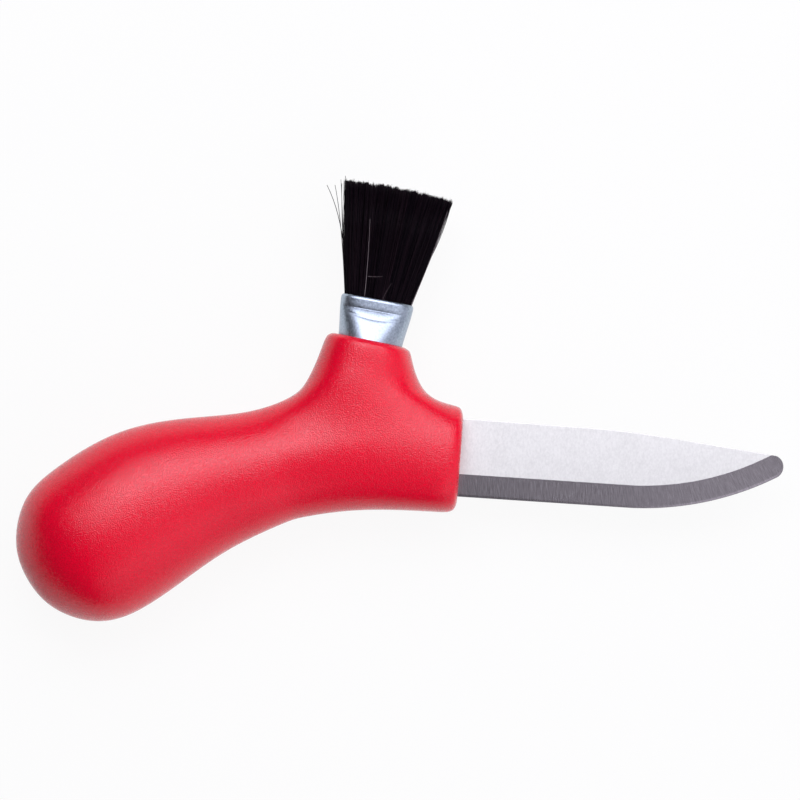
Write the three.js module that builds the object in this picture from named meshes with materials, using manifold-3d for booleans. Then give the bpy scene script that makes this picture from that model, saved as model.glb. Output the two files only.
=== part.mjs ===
// Mushroom knife: a short fixed blade moulded into a bulb-ended handle, with a flat bristle brush
// in a boss on the handle's back.
// Millimetres. The knife lies on its side: +X runs along the blade to the tip, +Y towards the brush
// and +Z up. Pieces are modelled about the centre of the handle's front face, then moved so that the
// origin lies on the surface under the middle of the whole knife.

import * as THREE from "three";
import { mergeVertices } from "three/addons/utils/BufferGeometryUtils.js";
import Module from "manifold-3d";

const wasm = await Module();
wasm.setup();

// Blade: a strip of stainless steel with a wide flat grind that follows the edge round to a blunt nose.
// Belly and fall are the stretches before the tip where the edge curves up and the spine slopes down.
const BLADE_LENGTH = 72.7;
const BLADE_HEIGHT = 17.6;
const BLADE_THICKNESS = 2;
const BLADE_OFFSET = 0.1;
const EDGE_RISE_DEG = 0.55;
const BELLY_LENGTH = 34.7;
const SPINE_FALL_LENGTH = 35.7;
const SPINE_BLEND = 9;
const NOSE_RADIUS = 2.7;
const NOSE_DROP = 5.64;
const NOSE_CORNER_DEG = 72;
const BEVEL_WIDTH = 5.1;
const EDGE_LAND = 0.2;

// Tang: the narrow end of the blade that the handle is moulded round, with holes that the plastic fills.
const SHOULDER_DEPTH = 6;
const TANG_LENGTH = 44;
const TANG_HEIGHT = 9;
const TANG_DROP = 1.5;
const TANG_HOLE_RADIUS = 2;
const TANG_HOLE_FIRST = 16;
const TANG_HOLE_PITCH = 17;
const TANG_HOLE_COUNT = 2;

// Handle: cheek and lip are the plastic beside and above the blade at the front face.
const FRONT_CHEEK = 9;
const FRONT_LIP = 3.25;
const FRONT_DROP = 0.45;
const FRONT_RIM_RADIUS = 2.3;
const FRONT_SQUARENESS = 2.6;
const BULB_RADIUS = 18;
const BULB_THICKNESS = 30;
const BULB_X = -80.1;
const BULB_Y = -24.4;
const BULB_LEAN_DEG = 34;

// Grip sections from the bulb to the boss: palm, waist and neck. Each has its centre, the lean of its
// upright towards the bulb, its half height and its half thickness, or cheek.
const PALM_X = -69;
const PALM_Y = -16.3;
const PALM_LEAN_DEG = 31;
const PALM_HALF = 17.8;
const PALM_CHEEK = 14.3;
const WAIST_X = -56.7;
const WAIST_Y = -10;
const WAIST_LEAN_DEG = 27;
const WAIST_HALF = 15.7;
const WAIST_CHEEK = 12.5;
const NECK_X = -44.2;
const NECK_Y = -5.7;
const NECK_LEAN_DEG = 22;
const NECK_HALF = 13.3;
const NECK_CHEEK = 11;
const GRIP_SQUARENESS = 2.1;
const GRIP_SECTIONS = [
  { x: PALM_X, y: PALM_Y, lean: PALM_LEAN_DEG, half: PALM_HALF, cheek: PALM_CHEEK },
  { x: WAIST_X, y: WAIST_Y, lean: WAIST_LEAN_DEG, half: WAIST_HALF, cheek: WAIST_CHEEK },
  { x: NECK_X, y: NECK_Y, lean: NECK_LEAN_DEG, half: NECK_HALF, cheek: NECK_CHEEK },
];

// Boss: the collar on the handle's back that holds the brush. Rise is its mouth's height over the
// blade's axis.
const BOSS_X = -22.1;
const BOSS_RISE = 24.7;
const BOSS_TILT_DEG = 6;
const BOSS_FOOT_TILT_DEG = -5;
const BOSS_WALL = 1.95;
const BOSS_CHEEK_WALL = 2.6;
const BOSS_DRAFT_DEG = 13;
const BOSS_CHEEK_DRAFT_DEG = 2;
const BOSS_FILLET = 1.2;
const BOSS_RIM_RADIUS = 1.8;
const BOSS_SQUARENESS = 2.4;
const BOSS_REAR_FOOT = 14.4;
const BOSS_FRONT_FOOT = 14.6;
// Handle sections under the boss: at its rear foot, under its mouth and at its front foot.
const REAR_FOOT_Y = -2.6;
const REAR_FOOT_LEAN_DEG = 13;
const REAR_FOOT_HALF = 13.5;
const REAR_FOOT_CHEEK = 10.5;
const MID_FOOT_Y = -1.3;
const MID_FOOT_LEAN_DEG = 4;
const MID_FOOT_HALF = 11.8;
const MID_FOOT_CHEEK = 10.4;
const FRONT_FOOT_Y = 0.2;
const FRONT_FOOT_LEAN_DEG = -2;
const FRONT_FOOT_HALF = 13;
const FRONT_FOOT_CHEEK = 10.2;
const BOSS_SECTIONS = [
  {
    x: BOSS_X - BOSS_REAR_FOOT,
    y: REAR_FOOT_Y,
    lean: REAR_FOOT_LEAN_DEG,
    half: REAR_FOOT_HALF,
    cheek: REAR_FOOT_CHEEK,
  },
  {
    x: BOSS_X,
    y: MID_FOOT_Y,
    lean: MID_FOOT_LEAN_DEG,
    half: MID_FOOT_HALF,
    cheek: MID_FOOT_CHEEK,
  },
  {
    x: BOSS_X + BOSS_FRONT_FOOT,
    y: FRONT_FOOT_Y,
    lean: FRONT_FOOT_LEAN_DEG,
    half: FRONT_FOOT_HALF,
    cheek: FRONT_FOOT_CHEEK,
  },
];
// Height over the middle section's centre from which the boss's sides rise, and how far in they stand there.
const BOSS_SHOULDER_RISE = 7.6;
const BOSS_SHOULDER_INSET = 0.2;

// Ferrule: a seamless tinned tube, round in the boss and flattened at its mouth, with a crimp below it.
const FERRULE_WALL = 0.5;
const FERRULE_DEPTH = 12;
const FERRULE_REACH = 9.5;
const FERRULE_DIAMETER = 14.4;
const FERRULE_MOUTH_WIDTH = 16.5;
const FERRULE_MOUTH_THICKNESS = 9.4;
const FERRULE_MOUTH_SQUARENESS = 3.2;
const FERRULE_ROUND_DEPTH = 1.9;
const CRIMP_DEPTH = 0.35;
const CRIMP_WIDTH = 1;
const CRIMP_BELOW_MOUTH = 2.6;

// Bristles: set in cured resin inside the ferrule. Each modelled strand stands for a small lock of hairs.
const BRISTLE_REACH = 25.4;
const BRISTLE_TIP_WIDTH = 24.6;
const BRISTLE_TIP_THICKNESS = 11.4;
const BRISTLE_PITCH = 0.5;
const BRISTLE_ROOT_RADIUS = 0.19;
const BRISTLE_TIP_RADIUS = 0.3;
const BRISTLE_TIP_SAG = 1.4;
const BRISTLE_SCATTER = 0.1;
const RESIN_BELOW_MOUTH = 4;
const RESIN_SLICE = 1;

// Gap between pieces that fit into each other, how far a cutter runs past what it cuts, and how far
// a moulded face stands proud before it is trimmed flat.
const CLEARANCE = 0.25;
const OVERRUN = 2;
const PROUD = 0.3;

const RING_POINTS = 32;
const ARC_POINTS = 24;
const HANDLE_SUBDIVISIONS = 2;

const FINISH = {
  red_plastic: { color: 0xd5152f, roughness: 0.45, metalness: 0 },
  steel: { color: 0xc9c9cd, roughness: 0.3, metalness: 1 },
  tinplate: { color: 0xcfd4dc, roughness: 0.25, metalness: 1 },
  resin: { color: 0x8a6a3a, roughness: 0.5, metalness: 0 },
  black_hair: { color: 0x141012, roughness: 0.6, metalness: 0 },
};

const radians = THREE.MathUtils.degToRad;
const vec = (x, y, z) => new THREE.Vector3(x, y, z);

// Solids and booleans.

function solid(geometry) {
  const bare = geometry.clone();
  bare.deleteAttribute("normal");
  bare.deleteAttribute("uv");
  const merged = mergeVertices(bare, 1e-4);
  return new wasm.Manifold(
    new wasm.Mesh({
      numProp: 3,
      vertProperties: merged.attributes.position.array,
      triVerts: new Uint32Array(merged.index.array),
    }),
  );
}

function geometryOf(manifold) {
  const mesh = manifold.getMesh();
  const geometry = new THREE.BufferGeometry();
  geometry.setAttribute("position", new THREE.BufferAttribute(mesh.vertProperties, 3));
  geometry.setIndex(new THREE.BufferAttribute(mesh.triVerts, 1));
  geometry.computeVertexNormals();
  return geometry;
}

function geometryFrom(points, triangles) {
  const geometry = new THREE.BufferGeometry().setFromPoints(points);
  geometry.setIndex(triangles);
  return geometry;
}

// Skins and sections.

// One oval section as [across, thick] pairs. Squareness 2 is an ellipse and more is boxier.
function oval(halfWidth, halfThickness, squareness, count) {
  const bulge = (v) => Math.sign(v) * Math.abs(v) ** (2 / squareness);
  return Array.from({ length: count }, (_, k) => {
    const turn = (2 * Math.PI * k) / count;
    return [halfWidth * bulge(Math.cos(turn)), halfThickness * bulge(Math.sin(turn))];
  });
}

// A skin through rings of equal count, each counter-clockwise seen from the far end.
// A loop joins the last ring to the first.
function loft(rings, { loop = false } = {}) {
  const count = rings[0].length;
  const points = rings.flat();
  const triangles = [];
  const spans = loop ? rings.length : rings.length - 1;
  for (let i = 0; i < spans; i++) {
    const low = i * count;
    const high = ((i + 1) % rings.length) * count;
    for (let k = 0; k < count; k++) {
      const next = (k + 1) % count;
      triangles.push(low + k, low + next, high + next, low + k, high + next, high + k);
    }
  }
  if (!loop) {
    const last = points.length - count;
    for (let k = 1; k < count - 1; k++) {
      triangles.push(0, k + 1, k);
      triangles.push(last, last + k, last + k + 1);
    }
  }
  return geometryFrom(points, triangles);
}

// A block that trims everything past a flat face at y = 0 of the given frame.
function trimBlock(frame) {
  const size = 2 * BLADE_LENGTH;
  return solid(new THREE.BoxGeometry(size, size, size).translate(0, size / 2, 0).applyMatrix4(frame));
}

// Subdivision surfaces: a cage of quads that is split and smoothed, and whose smooth surface passes
// through set points.

function neighbourhoods({ points, quads }) {
  const around = points.map(() => ({ edges: new Map(), across: [] }));
  for (const quad of quads) {
    quad.forEach((vertex, k) => {
      around[vertex].edges.set(quad[(k + 1) % 4], true);
      around[vertex].edges.set(quad[(k + 3) % 4], true);
      around[vertex].across.push(quad[(k + 2) % 4]);
    });
  }
  return around.map(({ edges, across }) => ({ edges: [...edges.keys()], across }));
}

// Where each cage point ends up on the smooth surface.
function limitPoints(cage, around = neighbourhoods(cage)) {
  return cage.points.map((point, i) => {
    const { edges, across } = around[i];
    const n = edges.length;
    const sum = point.clone().multiplyScalar(n * n);
    edges.forEach((j) => sum.addScaledVector(cage.points[j], 4));
    across.forEach((j) => sum.add(cage.points[j]));
    return sum.divideScalar(n * (n + 5));
  });
}

// The cage whose smooth surface passes through the points of the given one.
function cageThrough({ points, quads }) {
  const rounds = 60;
  const cage = { points: points.map((p) => p.clone()), quads };
  const around = neighbourhoods(cage);
  for (let round = 0; round < rounds; round++) {
    limitPoints(cage, around).forEach((limit, i) => cage.points[i].add(points[i]).sub(limit));
  }
  return cage;
}

function subdivide({ points, quads }) {
  const mean = (list) => list.reduce((sum, p) => sum.add(p), vec(0, 0, 0)).divideScalar(list.length);
  const made = points.map(() => null);
  const faceAt = quads.map((quad) => made.push(mean(quad.map((i) => points[i]))) - 1);
  const edges = new Map();
  const edgeKey = (a, b) => Math.min(a, b) * points.length + Math.max(a, b);
  quads.forEach((quad, f) =>
    quad.forEach((a, k) => {
      const b = quad[(k + 1) % 4];
      const edge = edges.get(edgeKey(a, b)) ?? { ends: [a, b], faces: [] };
      edge.faces.push(faceAt[f]);
      edges.set(edgeKey(a, b), edge);
    }),
  );
  const touching = points.map(() => ({ faces: [], middles: [] }));
  quads.forEach((quad, f) => quad.forEach((i) => touching[i].faces.push(made[faceAt[f]])));
  for (const edge of edges.values()) {
    const ends = edge.ends.map((i) => points[i]);
    const middle = mean(ends);
    edge.ends.forEach((i) => touching[i].middles.push(middle));
    edge.at = made.push(mean([...ends, ...edge.faces.map((f) => made[f])])) - 1;
  }
  points.forEach((point, i) => {
    const { faces, middles } = touching[i];
    const n = faces.length;
    made[i] = mean(faces)
      .addScaledVector(mean(middles), 2)
      .addScaledVector(point, n - 3)
      .divideScalar(n);
  });
  const split = quads.flatMap((quad, f) =>
    quad.map((vertex, k) => [
      vertex,
      edges.get(edgeKey(vertex, quad[(k + 1) % 4])).at,
      faceAt[f],
      edges.get(edgeKey(quad[(k + 3) % 4], vertex)).at,
    ]),
  );
  return { points: made, quads: split };
}

function smoothSkin(targets, levels) {
  let cage = cageThrough(targets);
  for (let level = 0; level < levels; level++) cage = subdivide(cage);
  const triangles = cage.quads.flatMap(([a, b, c, d]) => [a, b, c, a, c, d]);
  return geometryFrom(limitPoints(cage), triangles);
}

// Brush frame: origin at the middle of the boss's mouth, +Y out along the brush.
const brushFrame = new THREE.Matrix4()
  .makeRotationZ(-radians(BOSS_TILT_DEG))
  .setPosition(BOSS_X, BOSS_RISE, 0);

// Ferrule.

// Width, thickness and squareness of the ferrule's outside at a distance out from the boss's mouth.
function ferruleSection(along) {
  const flat = THREE.MathUtils.smoothstep(along, -FERRULE_ROUND_DEPTH, FERRULE_REACH);
  const fromCrimp = (along - FERRULE_REACH + CRIMP_BELOW_MOUTH) / CRIMP_WIDTH;
  const pinch = 2 * CRIMP_DEPTH * Math.exp(-4 * fromCrimp * fromCrimp);
  return {
    width: THREE.MathUtils.lerp(FERRULE_DIAMETER, FERRULE_MOUTH_WIDTH, flat),
    thickness: THREE.MathUtils.lerp(FERRULE_DIAMETER, FERRULE_MOUTH_THICKNESS, flat) - pinch,
    squareness: THREE.MathUtils.lerp(2, FERRULE_MOUTH_SQUARENESS, flat),
  };
}

function ferruleRing(along, inset) {
  const { width, thickness, squareness } = ferruleSection(along);
  return oval(width / 2 - inset, thickness / 2 - inset, squareness, RING_POINTS).map(
    ([across, thick]) => vec(across, along, -thick),
  );
}

// Heights of the ferrule's rings: its round root, even steps up the body, then fine ones through the crimp.
function ferruleHeights() {
  const crimp = FERRULE_REACH - CRIMP_BELOW_MOUTH;
  const body = crimp - CRIMP_WIDTH;
  const steps = 6;
  const even = Array.from({ length: steps }, (_, k) =>
    THREE.MathUtils.lerp(-FERRULE_ROUND_DEPTH, body, k / steps),
  );
  const fine = [-1, -0.5, 0, 0.5, 1].map((k) => crimp + k * CRIMP_WIDTH);
  return [-FERRULE_DEPTH, ...even, ...fine, FERRULE_REACH];
}

function ferruleGeometry() {
  const heights = ferruleHeights();
  const outside = heights.map((along) => ferruleRing(along, 0));
  const inside = heights.map((along) => ferruleRing(along, FERRULE_WALL)).reverse();
  return loft([...outside, ...inside], { loop: true });
}

// The hole in the boss that the ferrule is pressed into, run on past the mouth.
function socketCutter() {
  const heights = [...ferruleHeights().filter((along) => along < 0), 0];
  const rings = heights.map((along) => ferruleRing(along, -CLEARANCE));
  rings[0].forEach((p) => p.setY(-FERRULE_DEPTH - CLEARANCE));
  const above = rings[rings.length - 1].map((p) => p.clone().setY(OVERRUN));
  return solid(loft([...rings, above]).applyMatrix4(brushFrame));
}

// Resin and bristles.

const resinTop = FERRULE_REACH - RESIN_BELOW_MOUTH;

function resinGeometry() {
  const top = resinTop - RESIN_SLICE - CLEARANCE;
  const heights = [...ferruleHeights().filter((along) => along < top - CLEARANCE), top];
  return loft(heights.map((along) => ferruleRing(along, FERRULE_WALL + CLEARANCE)));
}

// A repeatable scatter between -1 and 1 for a lattice place.
function scatter(row, column, seed) {
  const wave = Math.sin(row * 127.1 + column * 311.7 + seed * 74.7) * 43758.5453;
  return 2 * (wave - Math.floor(wave)) - 1;
}

// Bristles fan out in straight lines from the resin through the ferrule's mouth, so that none cross.
function bristleLattice() {
  const mouth = ferruleSection(FERRULE_REACH);
  const crimp = ferruleSection(FERRULE_REACH - CRIMP_BELOW_MOUTH);
  const inset = FERRULE_WALL + CLEARANCE / 2 + BRISTLE_ROOT_RADIUS;
  const mouthHalf = mouth.width / 2 - inset;
  const mouthCheek = crimp.thickness / 2 - inset;
  const tipHalf = BRISTLE_TIP_WIDTH / 2;
  const tipCheek = BRISTLE_TIP_THICKNESS / 2;
  const back = RESIN_BELOW_MOUTH / BRISTLE_REACH;
  const rootHalf = mouthHalf - back * (tipHalf - mouthHalf);
  const rootCheek = mouthCheek - back * (tipCheek - mouthCheek);
  const rowPitch = BRISTLE_PITCH * Math.sqrt(3 / 4);
  const rows = Math.floor(rootCheek / rowPitch);
  const columns = Math.ceil(rootHalf / BRISTLE_PITCH);
  const places = [];
  for (let row = -rows; row <= rows; row++) {
    for (let column = -columns; column <= columns; column++) {
      const across = (column + (row % 2 ? 0.5 : 0)) * BRISTLE_PITCH / rootHalf;
      const thick = (row * rowPitch) / rootCheek;
      if (Math.abs(across) ** mouth.squareness + Math.abs(thick) ** mouth.squareness > 1) continue;
      const sway = BRISTLE_SCATTER * scatter(row, column, 1);
      const lean = BRISTLE_SCATTER * scatter(row, column, 2);
      const shortfall = BRISTLE_TIP_SAG * (across * across + thick * thick) / 2;
      const height = FERRULE_REACH + BRISTLE_REACH - shortfall + BRISTLE_SCATTER * scatter(row, column, 3);
      places.push({
        root: vec(across * rootHalf, resinTop - RESIN_SLICE / 2, thick * rootCheek),
        tip: vec(across * tipHalf + sway, height, thick * tipCheek + lean),
        turn: Math.PI * scatter(row, column, 4),
      });
    }
  }
  return places;
}

// One strand as a slim three-sided prism from root to tip.
function strandRings({ root, tip, turn }) {
  const sides = 3;
  const ring = (centre, radius) =>
    Array.from({ length: sides }, (_, k) => {
      const angle = turn + (2 * Math.PI * k) / sides;
      return vec(centre.x + radius * Math.cos(angle), centre.y, centre.z - radius * Math.sin(angle));
    });
  return [ring(root, BRISTLE_ROOT_RADIUS), ring(tip, BRISTLE_TIP_RADIUS)];
}

function bristleGeometry() {
  const points = [];
  const triangles = [];
  for (const place of bristleLattice()) {
    const rings = strandRings(place);
    const start = points.length;
    points.push(...rings.flat());
    triangles.push(...Array.from(loft(rings).index.array, (i) => i + start));
  }
  const inset = FERRULE_WALL + CLEARANCE;
  const slice = loft([resinTop - RESIN_SLICE, resinTop].map((along) => ferruleRing(along, inset)));
  return geometryOf(solid(geometryFrom(points, triangles)).add(solid(slice)));
}

// Blade.

const edgeY = BLADE_OFFSET - BLADE_HEIGHT / 2;
const spineY = BLADE_OFFSET + BLADE_HEIGHT / 2;
// The edge rises a little from the handle to where the belly's arc takes it up.
const edgeRise = radians(EDGE_RISE_DEG);
const edgeInto = new THREE.Vector2(-Math.sin(edgeRise), Math.cos(edgeRise));
const edgeAt = (x) => new THREE.Vector2(x, edgeY + x * Math.tan(edgeRise));
const nose = new THREE.Vector2(BLADE_LENGTH - NOSE_RADIUS, spineY - NOSE_DROP);
// The belly's arc starts along the edge and touches the nose's circle from outside, which sets its radius.
const bellyStart = edgeAt(BLADE_LENGTH - BELLY_LENGTH);
const bellyToNose = nose.clone().sub(bellyStart);
const bellyRadius =
  (bellyToNose.lengthSq() - NOSE_RADIUS ** 2) / (2 * (bellyToNose.dot(edgeInto) - NOSE_RADIUS));
const bellyCentre = bellyStart.clone().addScaledVector(edgeInto, bellyRadius);
const bellyStartAngle = edgeRise - Math.PI / 2;
const noseMeetsBelly = Math.atan2(nose.y - bellyCentre.y, nose.x - bellyCentre.x);

// The blade in front of the handle, seen from the side.
function bladeOutline() {
  const noseCorner = radians(NOSE_CORNER_DEG);
  const tip = new THREE.Vector2(NOSE_RADIUS, 0).rotateAround(new THREE.Vector2(), noseCorner).add(nose);
  const bend = new THREE.Vector2(BLADE_LENGTH - SPINE_FALL_LENGTH, spineY);
  const blend = tip.clone().sub(bend).setLength(SPINE_BLEND).add(bend);
  const shape = new THREE.Shape();
  shape.moveTo(0, spineY);
  shape.lineTo(0, edgeY);
  shape.absarc(bellyCentre.x, bellyCentre.y, bellyRadius, bellyStartAngle, noseMeetsBelly, false);
  shape.absarc(nose.x, nose.y, NOSE_RADIUS, noseMeetsBelly, noseCorner, false);
  shape.lineTo(blend.x, blend.y);
  shape.quadraticCurveTo(bend.x, bend.y, bend.x - SPINE_BLEND, bend.y);
  shape.closePath();
  return shape;
}

// The blade's root and tang inside the handle, grown all round by a margin.
function rootOutline(margin) {
  const tangY = BLADE_OFFSET - TANG_DROP;
  const tangHalf = TANG_HEIGHT / 2 + margin;
  const shoulder = -SHOULDER_DEPTH - margin;
  const shape = new THREE.Shape();
  shape.moveTo(margin, edgeY - margin);
  shape.lineTo(margin, spineY + margin);
  shape.lineTo(shoulder, spineY + margin);
  shape.lineTo(shoulder, tangY + tangHalf);
  shape.absarc(-TANG_LENGTH + TANG_HEIGHT / 2, tangY, tangHalf, Math.PI / 2, -Math.PI / 2, false);
  shape.lineTo(shoulder, tangY - tangHalf);
  shape.lineTo(shoulder, edgeAt(-SHOULDER_DEPTH).y - margin);
  shape.closePath();
  for (let k = 0; k < TANG_HOLE_COUNT; k++) {
    const holeX = -TANG_HOLE_FIRST - k * TANG_HOLE_PITCH;
    const hole = new THREE.Path();
    hole.absarc(holeX, tangY, TANG_HOLE_RADIUS - margin, 0, 2 * Math.PI, true);
    shape.holes.push(hole);
  }
  return shape;
}

// Points along the cutting edge with the direction into the blade, from inside the handle to past the nose.
function edgeStations() {
  const stations = [-SHOULDER_DEPTH - OVERRUN, bellyStart.x].map((x) => ({ at: edgeAt(x), into: edgeInto }));
  const pastNose = radians(10);
  const sweep = noseMeetsBelly - bellyStartAngle + pastNose;
  for (let k = 1; k <= ARC_POINTS; k++) {
    const angle = bellyStartAngle + (sweep * k) / ARC_POINTS;
    const into = new THREE.Vector2(-Math.cos(angle), -Math.sin(angle));
    stations.push({ at: bellyCentre.clone().addScaledVector(into, -bellyRadius), into });
  }
  return stations;
}

// What the grinding wheel takes off one side: a wedge over the bevel, carried along the edge.
function grindCutter(side, margin) {
  const slope = (BLADE_THICKNESS - EDGE_LAND) / 2 / BEVEL_WIDTH;
  const bevel = (inward) => EDGE_LAND / 2 + margin + slope * inward;
  const inner = BEVEL_WIDTH + OVERRUN;
  const wedge = [
    [-OVERRUN, bevel(-OVERRUN)],
    [inner, bevel(inner)],
    [inner, BLADE_THICKNESS + OVERRUN],
    [-OVERRUN, BLADE_THICKNESS + OVERRUN],
  ];
  const profile = side < 0 ? wedge.reverse() : wedge;
  const rings = edgeStations().map(({ at, into }) =>
    profile.map(([inward, height]) => vec(at.x + into.x * inward, at.y + into.y * inward, side * height)),
  );
  return solid(loft(rings));
}

function plate(outline, margin) {
  const thickness = BLADE_THICKNESS + 2 * margin;
  const settings = { depth: thickness, bevelEnabled: false, curveSegments: ARC_POINTS };
  return solid(new THREE.ExtrudeGeometry(outline, settings).translate(0, 0, -thickness / 2));
}

const ground = (steel, margin) => steel.subtract(grindCutter(1, margin)).subtract(grindCutter(-1, margin));

const bladeSolid = () => ground(plate(bladeOutline(), 0).add(plate(rootOutline(0), 0)), 0);
const tangCutter = () => ground(plate(rootOutline(CLEARANCE), CLEARANCE), CLEARANCE);

// Handle.

// Eight cage points of an upright section: side, shoulder, top, shoulder, side, then round underneath.
function sectionRing({ x, y, lean, half, cheek, squareness = GRIP_SQUARENESS }) {
  const upright = vec(-Math.sin(radians(lean)), Math.cos(radians(lean)), 0);
  return oval(cheek, half, squareness, 8).map(([thick, up]) =>
    vec(x, y, thick).addScaledVector(upright, up),
  );
}

// Rings from near the bulb's pole to its widest section.
function bulbSections() {
  return [28, 58, 90].map((fromPole) => {
    const angle = radians(fromPole);
    const along = BULB_RADIUS * Math.cos(angle);
    return {
      x: BULB_X - along * Math.cos(radians(BULB_LEAN_DEG)),
      y: BULB_Y - along * Math.sin(radians(BULB_LEAN_DEG)),
      lean: BULB_LEAN_DEG,
      half: BULB_RADIUS * Math.sin(angle),
      cheek: (BULB_THICKNESS / 2) * Math.sin(angle),
    };
  });
}

// Insets that carry a wall round a rim on to a face, which stands proud by a little until it is trimmed flat.
function rimSteps(radius) {
  const corner = radius * (1 - Math.SQRT1_2);
  return [
    { back: radius, inset: 0 },
    { back: corner, inset: corner },
    { back: -PROUD, inset: 1.1 * radius },
    { back: -PROUD, inset: 2.2 * radius },
  ];
}

function frontSections() {
  return rimSteps(FRONT_RIM_RADIUS).map(({ back, inset }) => ({
    x: -back,
    y: BLADE_OFFSET - FRONT_DROP,
    lean: 0,
    half: BLADE_HEIGHT / 2 + FRONT_LIP - inset,
    cheek: BLADE_THICKNESS / 2 + FRONT_CHEEK - inset,
    squareness: FRONT_SQUARENESS,
  }));
}

// Rings of the boss from its fillet up its wall and over the rim, which level out from the foot's slope
// to the mouth's. Their points go round as the foot's do: rear first, then the +Z side.
function bossRings(footDepth) {
  const mouth = ferruleSection(0);
  const half = mouth.width / 2 + BOSS_WALL;
  const cheek = mouth.thickness / 2 + BOSS_CHEEK_WALL;
  const filletShare = 0.72;
  const wallShare = 0.4;
  const steps = [
    { back: filletShare * footDepth, inset: 0, fillet: BOSS_FILLET },
    { back: wallShare * footDepth, inset: 0 },
    ...rimSteps(BOSS_RIM_RADIUS),
  ];
  return steps.map(({ back, inset, fillet = 0 }) => {
    const depth = Math.max(back, 0);
    const width = half + depth * Math.tan(radians(BOSS_DRAFT_DEG)) + fillet - inset;
    const thickness = cheek + depth * Math.tan(radians(BOSS_CHEEK_DRAFT_DEG)) - inset;
    const slope = radians((depth / footDepth) * (BOSS_TILT_DEG - BOSS_FOOT_TILT_DEG));
    const place = new THREE.Matrix4().makeRotationZ(slope).setPosition(0, -back, 0).premultiply(brushFrame);
    return oval(width, thickness, BOSS_SQUARENESS, 8).map(([across, thick]) =>
      vec(-across, 0, thick).applyMatrix4(place),
    );
  });
}

function handleCage() {
  const sections = [...bulbSections(), ...GRIP_SECTIONS, ...BOSS_SECTIONS, ...frontSections()];
  const rings = sections.map(sectionRing);
  const points = rings.flat();
  const quads = [];
  const at = (ring, k) => ring * 8 + (k % 8);
  const rear = sections.indexOf(BOSS_SECTIONS[0]);
  for (let ring = 0; ring < rings.length - 1; ring++) {
    for (let k = 0; k < 8; k++) {
      const underBoss = (ring === rear || ring === rear + 1) && (k === 1 || k === 2);
      if (!underBoss) quads.push([at(ring, k), at(ring + 1, k), at(ring + 1, k + 1), at(ring, k + 1)]);
    }
  }
  const closeWith = (loop, centre) => {
    const hub = points.push(centre) - 1;
    for (let k = 0; k < 8; k += 2) quads.push([loop[k], loop[k + 1], loop[(k + 2) % 8], hub]);
  };
  const loopOf = (ring) => Array.from({ length: 8 }, (_, k) => at(ring, k));
  const pole = vec(-1, 0, 0).applyAxisAngle(vec(0, 0, 1), radians(BULB_LEAN_DEG)).multiplyScalar(BULB_RADIUS);
  closeWith(loopOf(0), pole.add(vec(BULB_X, BULB_Y, 0)));
  const front = rings.length - 1;
  closeWith(loopOf(front).reverse(), vec(sections[front].x, sections[front].y, 0));

  // The boss grows from the eight points round the opening under it, and its sides rise straight from the
  // middle section's shoulders. That section's top point goes unused.
  const foot = [[0, 2], [0, 1], [1, 1], [2, 1], [2, 2], [2, 3], [1, 3], [0, 3]];
  let low = foot.map(([ring, k]) => at(rear + ring, k));
  const mid = BOSS_SECTIONS[1];
  const shoulder = vec(mid.x, mid.y + BOSS_SHOULDER_RISE, mid.cheek - BOSS_SHOULDER_INSET);
  points[at(rear + 1, 1)] = shoulder;
  points[at(rear + 1, 3)] = shoulder.clone().setZ(-shoulder.z);
  for (const ring of bossRings(BOSS_RISE - mid.y - mid.half)) {
    const high = ring.map((p) => points.push(p) - 1);
    for (let k = 0; k < 8; k++) quads.push([low[k], low[(k + 1) % 8], high[(k + 1) % 8], high[k]]);
    low = high;
  }
  const mouthCentre = low.reduce((sum, i) => sum.add(points[i]), vec(0, 0, 0)).divideScalar(8);
  closeWith(low, mouthCentre);
  return withoutStray({ points, quads });
}

// Drops cage points that no quad uses.
function withoutStray({ points, quads }) {
  const used = [...new Set(quads.flat())].sort((a, b) => a - b);
  const place = new Map(used.map((old, i) => [old, i]));
  return { points: used.map((i) => points[i]), quads: quads.map((quad) => quad.map((i) => place.get(i))) };
}

function handleGeometry() {
  const frontFrame = new THREE.Matrix4().makeRotationZ(-Math.PI / 2);
  const moulded = solid(smoothSkin(handleCage(), HANDLE_SUBDIVISIONS))
    .subtract(trimBlock(frontFrame))
    .subtract(trimBlock(brushFrame));
  return geometryOf(moulded.subtract(tangCutter()).subtract(socketCutter()));
}

// Assembly.

function piece(name, geometry, finish) {
  const mesh = new THREE.Mesh(geometry, new THREE.MeshStandardMaterial(FINISH[finish]));
  mesh.name = name;
  return mesh;
}

const brush = new THREE.Group();
brush.applyMatrix4(brushFrame);
brush.add(
  piece("ferrule", ferruleGeometry(), "tinplate"),
  piece("bristle_setting", resinGeometry(), "resin"),
  piece("bristle_tuft", bristleGeometry(), "black_hair"),
);

const knife = new THREE.Group();
knife.add(
  piece("handle", handleGeometry(), "red_plastic"),
  piece("blade", geometryOf(bladeSolid()), "steel"),
  brush,
);

const reach = new THREE.Box3().setFromObject(knife, true);
const middle = reach.getCenter(vec(0, 0, 0));
knife.position.set(-middle.x, -middle.y, -reach.min.z);

export default knife;
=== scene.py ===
"""Looks for a mushroom knife that lies on its side: handle, ground blade, tinned ferrule and hairs."""

import math

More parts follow.
